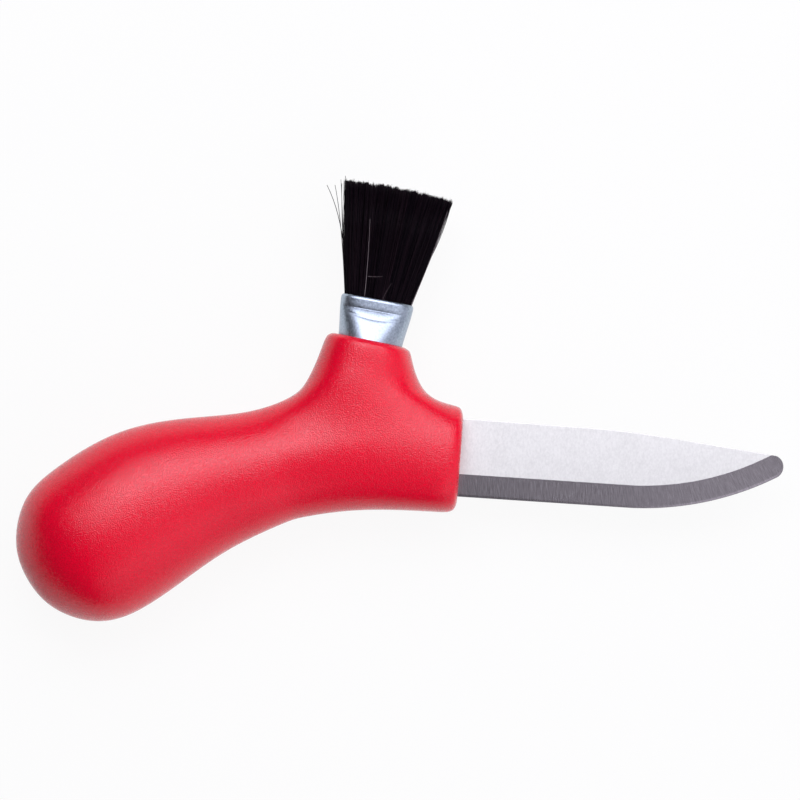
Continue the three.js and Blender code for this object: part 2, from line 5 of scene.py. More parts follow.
import bpy
import bmesh
import numpy as np
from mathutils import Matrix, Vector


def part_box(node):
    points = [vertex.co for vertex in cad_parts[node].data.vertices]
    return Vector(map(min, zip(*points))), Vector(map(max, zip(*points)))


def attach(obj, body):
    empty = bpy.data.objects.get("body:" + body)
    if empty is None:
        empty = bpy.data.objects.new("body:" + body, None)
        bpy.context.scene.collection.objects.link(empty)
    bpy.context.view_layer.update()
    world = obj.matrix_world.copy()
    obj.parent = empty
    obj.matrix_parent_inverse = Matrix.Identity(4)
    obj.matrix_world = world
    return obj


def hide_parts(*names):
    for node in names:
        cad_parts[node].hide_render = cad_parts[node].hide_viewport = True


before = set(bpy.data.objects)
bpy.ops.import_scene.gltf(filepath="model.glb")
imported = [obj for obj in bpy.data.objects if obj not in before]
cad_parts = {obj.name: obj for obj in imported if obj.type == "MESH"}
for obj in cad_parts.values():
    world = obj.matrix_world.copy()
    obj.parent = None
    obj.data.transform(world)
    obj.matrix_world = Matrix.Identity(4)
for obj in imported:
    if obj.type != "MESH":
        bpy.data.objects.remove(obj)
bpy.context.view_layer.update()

# Sizes in millimetres, about the centre of the handle's front face: +X to the tip, +Y to the brush, +Z up.

BLADE_LENGTH = 72.7
BLADE_HEIGHT = 17.6
BLADE_THICKNESS = 2.0
BLADE_OFFSET = 0.1
EDGE_RISE = math.radians(0.55)
BELLY_LENGTH = 34.7
SPINE_FALL_LENGTH = 35.7
SPINE_BLEND = 9.0
NOSE_RADIUS = 2.7
NOSE_DROP = 5.64
NOSE_CORNER = math.radians(72)
BEVEL_WIDTH = 5.1
EDGE_LAND = 0.2
LAND_MIDDLE = 0.6
LAND_ROUND = 0.06
SPINE_ROUND = 0.06
SPINE_HOLD = 0.06
GRIND_ROUND = 0.05
FULL_ROUND_DEPTH = 1.0
SHOULDER_DEPTH = 6.0
TANG_LENGTH = 44.0
TANG_HEIGHT = 9.0
TANG_DROP = 1.5
TANG_MIDDLE_BAND = 0.02
SPINE_START = -60.0
# How finely the blade is divided, and the gap below which its points merge.
SPINE_STEPS = 40
STRAIGHT_STATIONS = 45
BELLY_STATIONS = 90
NOSE_STATIONS = 30
BEVEL_ROWS = 9
FLAT_ROWS = 8
BLADE_MERGE_GAP = 0.002

FRONT_CHEEK = 9.0
FRONT_LIP = 3.25
FRONT_DROP = 0.45
FRONT_RIM = 2.3
FRONT_SQUARENESS = 2.6
BULB_RADIUS = 18.0
BULB_HALF = 18.5
BULB_THICKNESS = 30.0
BULB_X = -80.1
BULB_Y = -24.4
BULB_LEAN = 34.0
BULB_LATITUDES = (28, 58, 90)
GRIP_SQUARENESS = 2.1
FOOT_SQUARENESS = 2.8
SLOT_GAP = 0.06
SLOT_LIP = 0.08

BOSS_X = -22.1
BOSS_RISE = 24.7
BOSS_TILT = math.radians(6)
BOSS_FOOT_TILT = math.radians(-5)
BOSS_WALL = 1.95
BOSS_CHEEK_WALL = 2.6
BOSS_DRAFT = math.radians(13)
BOSS_CHEEK_DRAFT = math.radians(2)
BOSS_FILLET = 1.2
BOSS_FILLET_SHARE = 0.72
BOSS_FRONT_SWELL = 1.0
BOSS_REAR_SWELL = 0.5
BOSS_SWELL_SHARE = 0.4
BOSS_SWELL_EASE = 0.6
BOSS_MOUTH_LEAN = math.radians(-2)
BOSS_MOUTH_LIFT = 0.25
BOSS_RIM = 1.8
BOSS_RIM_INSET = 0.8
BOSS_WALL_RINGS = 4
BOSS_SQUARENESS = 2.4
BOSS_REAR_FOOT = 14.4
BOSS_FRONT_FOOT = 15.5
BOSS_SHOULDER_RISE = 7.6
BOSS_SHOULDER_INSET = 0.2
SOCKET_GAP = 0.12
SOCKET_LIP = 0.4
SOCKET_SQUARENESS = 2.1

# Handle sections from the palm to the boss's front foot: x, y, lean of the upright in degrees, half height,
# cheek and squareness.
GRIP_SECTIONS = (
    (-69.0, -16.3, 31, 18.2, 14.3, GRIP_SQUARENESS),
    (-56.7, -10.0, 27, 15.7, 12.5, GRIP_SQUARENESS),
    (-44.2, -5.7, 22, 13.3, 11.0, GRIP_SQUARENESS),
    (BOSS_X - BOSS_REAR_FOOT, -2.6, 13, 13.5, 10.5, GRIP_SQUARENESS),
    (BOSS_X, -1.45, 4, 11.95, 10.4, GRIP_SQUARENESS),
    (BOSS_X + BOSS_FRONT_FOOT, 0.05, -2, 12.6, 10.2, FOOT_SQUARENESS),
)
REAR_FOOT_SECTION = 3
REAR_FOOT_RING = len(BULB_LATITUDES) + REAR_FOOT_SECTION
FACE_INSET = 0.15
# Points in a ring of the handle's cage, rounds in which the cage is fitted, and subdivisions of its skin.
RING = 8
CAGE_ROUNDS = 12
SKIN_LEVELS = 4
# How far the middle of a quarter round lies in from its corner's two sides, as a share of its radius.
ROUND_MIDDLE = 1 - math.sqrt(0.5)
NEAR_ZERO = 1e-9

FERRULE_WALL = 0.5
FERRULE_DEPTH = 12.0
FERRULE_REACH = 9.5
FERRULE_DIAMETER = 14.4
FERRULE_MOUTH_WIDTH = 16.5
FERRULE_MOUTH_THICKNESS = 9.4
FERRULE_ROUND_SQUARENESS = 2
FERRULE_MOUTH_SQUARENESS = 3.2
FERRULE_ROUND_DEPTH = 1.9
CRIMP_BELOW_MOUTH = 2.7
CRIMP_PRESS = 0.3
MOUTH_FLARE = 0.35
MOUTH_ROUND = 1.0
MOUTH_TURN = math.radians(52)
MOUTH_INNER_DROP = 0.1
CRIMP_FOOT = 1.0
CRIMP_SPREAD = 0.7
CREASE_PRESS = 0.09
CREASE_BELOW_CRIMP = 0.5
CREASE_BOW = 1.5
CREASE_SPREAD = 0.34
FACE_FADE = 0.35
# The crimp is weaker towards one flank: by this share, from here on and over this much of the half width.
PRESS_LOSS = 0.8
PRESS_LOSS_FROM = 0.35
PRESS_LOSS_OVER = 0.5
# How finely the ferrule is divided, and the gap below which its points merge.
FINE_ROWS_FROM = -1.0
SEAT_ROWS = 6
FACE_ROWS = 72
MOUTH_ROWS = 26
LIP_ROWS = 9
FERRULE_SIDES = 240
FERRULE_MERGE_GAP = 0.001

HAIR_COUNT = 6400
LOCK_COUNT = 420
HAIR_REACH = 25.4
HAIR_TIP_WIDTH = 24.6
HAIR_TIP_THICKNESS = 11.4
HAIR_TIP_SAG = 1.2
HAIR_TIP_SLANT = 0.15
HAIR_TIP_LEAN = 0.4
HAIR_SEED = 11
HAIR_SPARES = 3
HAIR_SIDES = 3
HAIR_TWIST = 2.4
HAIR_RADII = (0.05, 0.075)
HAIR_STATIONS = np.array([-0.12, 0.0, 0.3, 0.62, 1.0])
HAIR_TAPER = np.array([1, 1, 1, 0.9, 0.45])
HAIR_FLANK_ROOM = 0.15
HAIR_FACE_ROOM = 0.25
HAIR_SWAY = 0.12
HAIR_SPLAY = 0.16
LOCK_DEPTH_WEIGHT = 0.3
LOCK_GATHER = (0.1, 0.6)
LOCK_UNEVEN = 0.08
SCALLOP_COUNT = 97
SCALLOP_UNEVEN = 0.15
TIP_UNEVEN = 0.21
TIP_WEAR = 0.14
DYED_SHADE = 0.8
SHADE_SPREAD = (1.2, 4)

# Loose hairs: across and along the brush at root, bend and tip, height of the hair, radius, shade.
STRAYS = (
    (-7.4, 9.0, -9.6, 24.5, -15.86, 32.8, 1.0, 0.11, 0.1),
    (-7.4, 9.0, -11.2, 26.0, -14.09, 33.15, 0.4, 0.1, 0.1),
    (-7.4, 9.0, -11.0, 24.6, -12.65, 33.7, 1.6, 0.09, 0.2),
    (-7.4, 9.0, -10.9, 27.0, -12.15, 35.6, 0.0, 0.1, 0.1),
    (-7.4, 9.0, -11.3, 27.5, -12.95, 34.5, 2.2, 0.09, 0.2),
    (7.5, 9.0, 10.3, 20.4, 11.9, 31.9, 2.6, 0.08, 0.95),
    (7.6, 9.0, 9.3, 17.0, 11.0, 25.0, 1.2, 0.07, 0.9),
    (9.3, 18.6, 11.9, 26.0, 12.4, 33.2, 1.0, 0.09, 0.2),
    (9.9, 21.0, 11.9, 28.0, 12.5, 33.8, 0.3, 0.08, 0.2),
    (-3.0, 9.5, -3.6, 18.0, -4.9, 26.8, 5.75, 0.075, 0.91),
    (-3.1, 14.1, -1.4, 14.2, 0.2, 14.7, 5.8, 0.06, 0.87),
    (1.1, 9.5, 1.3, 11.0, 2.4, 13.5, 5.2, 0.075, 0.83),
)
STRAY_STEPS = 13
STRAY_SIDES = 6
STRAY_TAPER = 0.55

_, HANDLE_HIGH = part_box("handle")
BLADE_LOW, BLADE_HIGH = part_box("blade")
EDGE_Y = BLADE_OFFSET - BLADE_HEIGHT / 2
SPINE_Y = BLADE_OFFSET + BLADE_HEIGHT / 2
KNIFE_ORIGIN = 1000 * np.array(
    [HANDLE_HIGH.x, BLADE_HIGH.y - SPINE_Y / 1000, (BLADE_LOW.z + BLADE_HIGH.z) / 2]
)
BRUSH_ACROSS = np.array([math.cos(BOSS_TILT), -math.sin(BOSS_TILT), 0.0])
BRUSH_AXIS = np.array([math.sin(BOSS_TILT), math.cos(BOSS_TILT), 0.0])
BRUSH_ORIGIN = np.array([BOSS_X, BOSS_RISE, 0.0])


# Curves, meshes and nodes.


def smooth_step(share):
    """From 0 to 1 with a level start and end: 3s^2 - 2s^3."""
    return share * share * (3 - 2 * share)


def bent_line(start, bend, end, t):
    """From start to end, drawn towards the bend: (1-t)^2 start + 2t(1-t) bend + t^2 end."""
    return (1 - t) ** 2 * start + 2 * t * (1 - t) * bend + t**2 * end


def in_frame(points):
    """Knife millimetres to the frame's metres: add the knife's origin, divide by 1000."""
    return (np.asarray(points, float) + KNIFE_ORIGIN) / 1000


def from_brush(across, along, thick):
    """Brush coordinates to knife millimetres: boss mouth + across * side + along * axis + thick * Z."""
    return (
        BRUSH_ORIGIN
        + np.asarray(across)[..., None] * BRUSH_ACROSS
        + np.asarray(along)[..., None] * BRUSH_AXIS
        + np.asarray(thick)[..., None] * np.array([0.0, 0.0, 1.0])
    )


def grid_quads(rows, columns, close_rows=False, close_columns=False):
    """Quads of a grid: each cell joins (i, j), (i, j+1), (i+1, j+1), (i+1, j), wrapping where it closes."""
    i, j = np.meshgrid(
        np.arange(rows if close_rows else rows - 1),
        np.arange(columns if close_columns else columns - 1),
        indexing="ij",
    )
    down, right = (i + 1) % rows, (j + 1) % columns
    corners = (i * columns + j, i * columns + right, down * columns + right, down * columns + j)
    return np.stack(corners, -1).reshape(-1, 4)


def add_piece(name, points, faces, finishes, node_replaced=None):
    """A smooth-shaded mesh piece in the frame that rides on the knife's one body."""
    mesh = bpy.data.meshes.new(name)
    mesh.from_pydata(in_frame(points).tolist(), [], [list(face) for face in faces])
    for finish in finishes:
        mesh.materials.append(finish)
    mesh.polygons.foreach_set("use_smooth", np.ones(len(mesh.polygons), bool))
    mesh.update()
    piece = bpy.data.objects.new(name, mesh)
    bpy.context.scene.collection.objects.link(piece)
    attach(piece, "root")
    if node_replaced:
        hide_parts(node_replaced)
    return piece


def close_up(mesh, gap):
    """Merges points nearer than a gap in millimetres, drops flat faces and turns all faces outwards."""
    shell = bmesh.new()
    shell.from_mesh(mesh)
    bmesh.ops.remove_doubles(shell, verts=shell.verts, dist=gap / 1000)
    bmesh.ops.dissolve_degenerate(shell, edges=shell.edges, dist=gap / 1000)
    bmesh.ops.recalc_face_normals(shell, faces=shell.faces)
    shell.to_mesh(mesh)
    shell.free()
    mesh.update()


def linear(code):
    """An sRGB hex code as linear red, green, blue and full alpha."""
    share = np.array([int(code[k : k + 2], 16) for k in (1, 3, 5)]) / 255
    value = np.where(share <= 0.04045, share / 12.92, ((share + 0.055) / 1.055) ** 2.4)
    return (*value.tolist(), 1.0)


def node(tree, kind, fill=None, **settings):
    """Adds a node, sets its properties, and fills its inputs with values or links."""
    made = tree.nodes.new(kind)
    for name, value in settings.items():
        setattr(made, name, value)
    for key, value in (fill or {}).items():
        if isinstance(value, bpy.types.NodeSocket):
            tree.links.new(value, made.inputs[key])
        else:
            made.inputs[key].default_value = value
    return made


def per_mm(size):
    """Texture scale for a pattern whose repeat is a size in millimetres, on coordinates in metres."""
    return 1000 / size


def noise(tree, place, size, detail, roughness=0.5):
    """Noise whose lumps are about a size in millimetres apart."""
    fill = {"Vector": place, "Scale": per_mm(size), "Detail": detail, "Roughness": roughness}
    return node(tree, "ShaderNodeTexNoise", fill).outputs["Fac"]


def remap(tree, value, before, after):
    """A value taken from one range to another and kept within it."""
    ends = {"From Min": before[0], "From Max": before[1], "To Min": after[0], "To Max": after[1]}
    return node(tree, "ShaderNodeMapRange", {"Value": value, **ends}).outputs["Result"]


def blend(tree, share, first, second):
    """A colour between two others, by a share."""
    return node(tree, "ShaderNodeMix", {0: share, 6: first, 7: second}, data_type="RGBA").outputs[2]


def relief(tree, height, strength, depth):
    """Bumps from a height pattern, with a depth in millimetres."""
    fill = {"Strength": strength, "Distance": depth / 1000, "Height": height}
    return node(tree, "ShaderNodeBump", fill).outputs["Normal"]


def new_finish(name):
    """An empty node material, its tree, and the object's own coordinates in metres."""
    finish = bpy.data.materials.new(name)
    finish.use_nodes = True
    tree = finish.node_tree
    tree.nodes.clear()
    return finish, tree, node(tree, "ShaderNodeTexCoord").outputs["Object"]


def with_surface(finish, fill):
    """The material, closed by one surface shader with these inputs."""
    shader = node(finish.node_tree, "ShaderNodeBsdfPrincipled", fill)
    node(finish.node_tree, "ShaderNodeOutputMaterial", {"Surface": shader.outputs["BSDF"]})
    return finish


# Finishes.


def moulded_plastic():
    """Injection-moulded polypropylene from a spark-eroded mould: deep red and satin, with a fine shallow
    grain whose hollows are rougher, so that the highlight breaks up into speckle. The colour is darker in the
    grain's hollows as painted shade of the grain's small facets, and its tone also differs at random over
    broad lumps. The real grain is about half as wide and is drawn coarser here, so that it shows."""
    finish, tree, place = new_finish("moulded_red_polypropylene")
    grain = remap(tree, noise(tree, place, 0.24, 0.0), (0.3, 0.7), (0, 1))
    tone = remap(tree, noise(tree, place, 14, 3.0), (0, 1), (-0.2, 0.2))
    share = node(tree, "ShaderNodeMath", {0: grain, 1: tone}, operation="ADD", use_clamp=True)
    return with_surface(
        finish,
        {
            # Base colour: painted shade, darker in the grain's hollows, over a red whose tone differs at
            # random.
            "Base Color": blend(tree, share.outputs[0], linear("#d20227"), linear("#eb032d")),
            "Roughness": remap(tree, grain, (0, 1), (0.3, 0.08)),
            "IOR": 1.47,
            "Normal": relief(tree, grain, 1.0, 0.03),
        },
    )


def satin_steel():
    """Cold-rolled stainless strip, tumbled to a satin: pale and soft, with faint clouds and fine sparkle."""
    finish, tree, place = new_finish("satin_stainless_steel")
    stretched = node(tree, "ShaderNodeMapping", {"Vector": place, "Scale": (1.0, 0.6, 1.0)})
    fine = noise(tree, stretched.outputs["Vector"], 0.36, 1.0)
    cloud = noise(tree, place, 5, 3.0)
    share = node(tree, "ShaderNodeMath", {0: cloud, 1: 0.35, 2: fine}, operation="MULTIPLY_ADD")
    share = remap(tree, share.outputs[0], (0.4, 0.95), (0, 1))
    return with_surface(
        finish,
        {
            "Base Color": blend(tree, share, linear("#d7d8d5"), linear("#e4e5e2")),
            "Metallic": 1.0,
            "Roughness": remap(tree, fine, (0.3, 0.7), (0.36, 0.44)),
            "Normal": relief(tree, fine, 0.3, 0.01),
        },
    )


def ground_steel_painted_shade():
    """Stainless steel fresh from a grinding belt that ran across the edge, with fine lines from the edge to
    the grind line all along the bevel. Its colour is darker than the flats', partly for the ground finish and
    partly as painted shade for the dark reflection that the bevel catches. The attributes edge_run and
    edge_depth hold metres along the edge and in from it."""
    finish, tree, _ = new_finish("ground_steel_with_painted_shade")
    run = node(tree, "ShaderNodeAttribute", attribute_name="edge_run").outputs["Fac"]
    depth = node(tree, "ShaderNodeAttribute", attribute_name="edge_depth").outputs["Fac"]
    place = node(tree, "ShaderNodeCombineXYZ", {"X": run, "Y": depth}).outputs[0]
    slanted = node(
        tree,
        "ShaderNodeMapping",
        {"Vector": place, "Rotation": (0, 0, math.radians(8)), "Scale": (1.0, 9.0, 1.0)},
        vector_type="TEXTURE",
    )
    lines = noise(tree, slanted.outputs["Vector"], 0.28, 2.0, 0.55)
    share = remap(tree, lines, (0.3, 0.7), (0, 1))
    return with_surface(
        finish,
        {
            # Darker than the flats: partly the ground finish, partly painted shade for the bevel's dark
            # reflection.
            "Base Color": blend(tree, share, linear("#989398"), linear("#b0abb0")),
            "Metallic": 1.0,
            "Roughness": 0.27,
            "Normal": relief(tree, lines, 0.3, 0.03),
        },
    )


def tinplate():
    """Tinned steel tube, drawn and pressed flat: a bluish grey metal with a soft sheen, and a fine mottle of
    paler, duller grains in the tin."""
    finish, tree, place = new_finish("bright_tinplate")
    mottle = noise(tree, place, 0.45, 2.0, 0.55)
    grain = remap(tree, mottle, (0.3, 0.7), (0, 1))
    return with_surface(
        finish,
        {
            "Base Color": blend(tree, grain, linear("#97a4b4"), linear("#bfccda")),
            "Metallic": 1.0,
            "Roughness": remap(tree, grain, (0, 1), (0.34, 0.48)),
            "Normal": relief(tree, mottle, 0.3, 0.01),
        },
    )


def bristle_hair():
    """Dyed horsehair: near black with a brown cast that differs from hair to hair, a faint gloss, and a few
    hairs that took no dye. The attribute hair_shade runs from black at 0 over brown to grey at 1."""
    finish, tree, _ = new_finish("black_horsehair")
    shade = node(tree, "ShaderNodeAttribute", attribute_name="hair_shade").outputs["Fac"]
    dye = remap(tree, shade, (0, DYED_SHADE), (0, 1))
    bare = remap(tree, shade, (DYED_SHADE, 1), (0, 1))
    dyed = blend(tree, dye, linear("#020106"), linear("#281a22"))
    return with_surface(
        finish,
        {
            "Base Color": blend(tree, bare, dyed, linear("#8f8789")),
            "Roughness": 0.5,
            "IOR": 1.4,
            "Specular IOR Level": 0.1,
        },
    )


def cured_resin():
    """Cast epoxy: amber, glossy and a little cloudy where the hairs stood in it."""
    finish, tree, place = new_finish("cured_epoxy")
    cloud = noise(tree, place, 1.5, 3.0)
    colour = blend(tree, cloud, linear("#7a5a2c"), linear("#9c7c48"))
    return with_surface(finish, {"Base Color": colour, "Roughness": 0.3, "IOR": 1.55})


# Handle.


def oval_rings(half, cheek, squareness):
    """Eight points a ring: cheek * bulge(cos t) thick and half * bulge(sin t) up, where bulge(v) is
    |v|^(2 / squareness) with the sign of v."""
    turn = 2 * np.pi * np.arange(RING) / RING
    power = 2 / np.asarray(squareness, float)[:, None]
    thick = np.sign(np.cos(turn)) * np.abs(np.cos(turn)) ** power
    up = np.sign(np.sin(turn)) * np.abs(np.sin(turn)) ** power
    return np.asarray(cheek)[:, None] * thick, np.asarray(half)[:, None] * up


def upright_rings(x, y, lean, half, cheek, squareness):
    """Rings of ovals: (x, y) + up * (-sin lean, cos lean), with the oval's thickness along Z."""
    thick, up = oval_rings(half, cheek, squareness)
    x, y, lean = x[:, None], y[:, None], np.radians(lean)[:, None]
    return np.stack([x - up * np.sin(lean), y + up * np.cos(lean), thick], -1)


def handle_rings():
    """Rings from near the bulb's pole to the front rim. The bulb's are ovals of latitude about its leaning
    axis."""
    angle = np.radians(BULB_LATITUDES)
    lean = math.radians(BULB_LEAN)
    along = BULB_RADIUS * np.cos(angle)
    grip = np.array(GRIP_SECTIONS)
    rim = np.array([[FRONT_RIM, 0.0], [FRONT_RIM * ROUND_MIDDLE] * 2, [0.0, FRONT_RIM]])
    front = np.ones(len(rim))
    bulb = np.ones(len(angle))
    return upright_rings(
        np.concatenate([BULB_X - along * math.cos(lean), grip[:, 0], -rim[:, 0]]),
        np.concatenate([BULB_Y - along * math.sin(lean), grip[:, 1], (BLADE_OFFSET - FRONT_DROP) * front]),
        np.concatenate([BULB_LEAN * bulb, grip[:, 2], 0 * front]),
        np.concatenate([BULB_HALF * np.sin(angle), grip[:, 3], BLADE_HEIGHT / 2 + FRONT_LIP - rim[:, 1]]),
        np.concatenate(
            [BULB_THICKNESS / 2 * np.sin(angle), grip[:, 4], BLADE_THICKNESS / 2 + FRONT_CHEEK - rim[:, 1]]
        ),
        np.concatenate([GRIP_SQUARENESS * bulb, grip[:, 5], FRONT_SQUARENESS * front]),
    )


def slot_outline(x, angle, grow):
    """The blade's section grown all round, at given angles about the handle's axis: each ray ends on the
    nearest of six lines, which are the two flats, the spine, the two bevels and the edge."""
    half, land = BLADE_THICKNESS / 2, EDGE_LAND / 2
    bevel = math.atan2(half - land, BEVEL_WIDTH)
    facing = np.array([0, math.pi / 2, math.pi, math.pi + bevel, -math.pi / 2, -bevel])
    on_line = np.array(
        [[half, 0], [0, SPINE_Y], [-half, 0], [-land, EDGE_Y], [0, EDGE_Y], [land, EDGE_Y]]
    )
    normal = np.stack([np.cos(facing), np.sin(facing)], -1)
    reach = (normal * on_line).sum(1) + grow
    ray = np.stack([np.cos(angle), np.sin(angle)], -1)
    length = (reach / np.maximum(ray @ normal.T, NEAR_ZERO)).min(1)
    return np.stack([np.full(len(angle), x), length * ray[:, 1], length * ray[:, 0]], -1)


def boss_rings(foot_depth):
    """Rings of the boss up its wall, over the rim and down its socket: ovals that grow with depth by the
    draft and lean from the foot's slope to the mouth's."""
    width, thickness, _ = ferrule_section(np.array([0.0]))
    corner = BOSS_RIM * ROUND_MIDDLE
    # Depth below the mouth, inset, fillet, swell to the front and swell to the rear.
    steps = np.array(
        [
            [BOSS_FILLET_SHARE * foot_depth, 0.0, BOSS_FILLET, BOSS_FRONT_SWELL, 0.0],
            [BOSS_SWELL_SHARE * foot_depth, 0.0, 0.0, BOSS_SWELL_EASE * BOSS_FRONT_SWELL, BOSS_REAR_SWELL],
            [BOSS_RIM, 0.0, 0.0, 0.0, BOSS_REAR_SWELL],
            [corner, corner, 0.0, 0.0, BOSS_REAR_SWELL],
            [0.0, BOSS_RIM_INSET * BOSS_RIM, 0.0, 0.0, BOSS_REAR_SWELL],
        ]
    )
    back, inset, fillet, front_swell, rear_swell = steps.T
    half = width / 2 + BOSS_WALL + back * math.tan(BOSS_DRAFT) + fillet - inset
    cheek = thickness / 2 + BOSS_CHEEK_WALL + back * math.tan(BOSS_CHEEK_DRAFT) - inset
    lean = BOSS_MOUTH_LEAN + back / foot_depth * (BOSS_TILT - BOSS_FOOT_TILT - BOSS_MOUTH_LEAN)
    back = back - BOSS_MOUTH_LIFT * (1 - back / foot_depth)
    well = np.array([0.0, SOCKET_LIP, FERRULE_DEPTH])
    half = np.concatenate([half, width / 2 + SOCKET_GAP + 0 * well])
    cheek = np.concatenate([cheek, thickness / 2 + SOCKET_GAP + 0 * well])
    lean = np.concatenate([lean, 0 * well])
    back = np.concatenate([back, well])
    square = np.concatenate([np.full(len(steps), BOSS_SQUARENESS), np.full(len(well), SOCKET_SQUARENESS)])
    # Points go round as the foot's do: rear first, then the +Z side.
    thick, up = oval_rings(cheek, half, square)
    across, thick = -thick, up
    share = across / half[:, None]
    front_swell, rear_swell = (np.append(v, 0 * well)[:, None] for v in (front_swell, rear_swell))
    across = across + np.where(share > 0, front_swell, rear_swell) * share
    along = -back[:, None] + across * np.sin(lean)[:, None]
    return from_brush(across * np.cos(lean)[:, None], along, thick)


def smooth_weights(quads, count):
    """Matrix from cage points to the smooth surface, where n faces meet at a point:
    (n*n * point + 4 * edge neighbours + far corners) / (n * (n + 5))."""
    near = np.zeros((count, count))
    for a, b, c, d in (np.roll(quads, -k, axis=1).T for k in range(4)):
        np.add.at(near, (a, b), 2.0)
        np.add.at(near, (a, d), 2.0)
        np.add.at(near, (a, c), 1.0)
    faces = np.bincount(quads.ravel(), minlength=count).astype(float)
    near[np.diag_indices(count)] += faces**2
    return near / (faces * (faces + 5))[:, None]


def front_rings(face):
    """The face's ring and an inset copy, moved so that the smooth curve of each runs through the given
    points: a curve passes its points at (before + 4 * point + after) / 6."""
    inward = face.mean(0) - face
    inset = face + FACE_INSET * inward / np.linalg.norm(inward, axis=1, keepdims=True)
    on_curve = (4 * np.eye(RING) + np.roll(np.eye(RING), 1, 0) + np.roll(np.eye(RING), -1, 0)) / 6
    return np.linalg.solve(on_curve, np.stack([face, inset]))


def cap_quads(loop, hub):
    """Quads that close a ring about its hub, each over two of the ring's sides."""
    return np.stack([loop[0::2], loop[1::2], np.roll(loop, -2)[0::2], np.full(RING // 2, hub)], -1)


def cage_quads(tube, boss):
    """Quads of the cage from counts of rings: the tube from bulb to front, without the four quads that the
    boss stands on, then the boss, and caps on the bulb's pole and the socket's end, whose hubs come last."""
    quads = grid_quads(tube, RING, close_columns=True)[:, [0, 3, 2, 1]]
    ring_of, side_of = np.divmod(np.arange(len(quads)), RING)
    under_boss = np.isin(ring_of, [REAR_FOOT_RING, REAR_FOOT_RING + 1]) & np.isin(side_of, [1, 2])
    # The foot as rings and points round the four quads: rear first, then the +Z side.
    foot = np.array([[0, 2], [0, 1], [1, 1], [2, 1], [2, 2], [2, 3], [1, 3], [0, 3]])
    foot = (REAR_FOOT_RING + foot[:, 0]) * RING + foot[:, 1]
    loops = np.concatenate([foot[None], tube * RING + np.arange(boss * RING).reshape(-1, RING)])
    low, high = loops[:-1], loops[1:]
    climb = np.stack([low, np.roll(low, -1, 1), np.roll(high, -1, 1), high], -1).reshape(-1, 4)
    pole = (tube + boss) * RING
    caps = [cap_quads(np.arange(RING), pole), cap_quads(loops[-1], pole + 1)]
    return np.concatenate([quads[~under_boss], climb, *caps])


def handle_cage():
    """Cage of quads whose smooth surface runs close to the handle's rings: in each round a cage point moves
    by what the surface misses its ring point by. Points on the front face, the boss's mouth and in its
    socket are held in their planes, so that these stay flat. The front is open inside the last ring."""
    body = handle_rings()
    front = front_rings(body[-1])
    mid_x, mid_y, _, mid_half, mid_cheek, _ = GRIP_SECTIONS[REAR_FOOT_SECTION + 1]
    boss = boss_rings(BOSS_RISE - mid_y - mid_half)
    lean = math.radians(BULB_LEAN)
    pole = [BULB_X - BULB_RADIUS * math.cos(lean), BULB_Y - BULB_RADIUS * math.sin(lean), 0]
    rings = np.concatenate([body[:-1], front, boss])
    points = np.concatenate([rings.reshape(-1, 3), [pole, boss[-1].mean(0)]])
    shoulder = np.array([mid_x, mid_y + BOSS_SHOULDER_RISE, mid_cheek - BOSS_SHOULDER_INSET])
    middle_ring = (REAR_FOOT_RING + 1) * RING
    points[middle_ring + 1] = shoulder
    points[middle_ring + 3] = shoulder * [1, 1, -1]

    loose, fixed, on_axis = np.zeros((3, 3)), np.eye(3), np.outer(BRUSH_AXIS, BRUSH_AXIS)
    held = [loose] * (len(body) - 1) + [fixed] * len(front)
    held += [loose] * BOSS_WALL_RINGS + [on_axis] * (len(boss) - BOSS_WALL_RINGS)
    held = np.concatenate([np.repeat(held, RING, axis=0), [loose, fixed]])

    quads = cage_quads(len(body) - 1 + len(front), len(boss))
    used, place = np.unique(quads, return_inverse=True)
    quads, points, held = place.reshape(-1, 4), points[used], held[used]
    free = np.eye(3) - held
    weights = smooth_weights(quads, len(points))
    cage = points
    for _ in range(CAGE_ROUNDS):
        missed = points - weights @ cage
        cage = cage + np.einsum("pij,pj->pi", free, missed)
    return cage, quads


def smooth_skin(cage, quads):
    """Points and quads of the cage's subdivision surface."""
    mesh = bpy.data.meshes.new("handle_cage")
    mesh.from_pydata(cage.tolist(), [], quads.tolist())
    holder = bpy.data.objects.new("handle_cage", mesh)
    bpy.context.scene.collection.objects.link(holder)
    holder.modifiers.new("smooth_skin", "SUBSURF").levels = SKIN_LEVELS
    skin = bpy.data.meshes.new_from_object(holder.evaluated_get(bpy.context.evaluated_depsgraph_get()))
    points = np.empty(3 * len(skin.vertices), np.float32)
    skin.vertices.foreach_get("co", points)
    corners = np.empty(4 * len(skin.polygons), np.int32)
    skin.loops.foreach_get("vertex_index", corners)
    # The holder goes with its mesh.
    for spent in (mesh, skin):
        bpy.data.meshes.remove(spent)
    return points.reshape(-1, 3).astype(float), corners.reshape(-1, 4).astype(int)


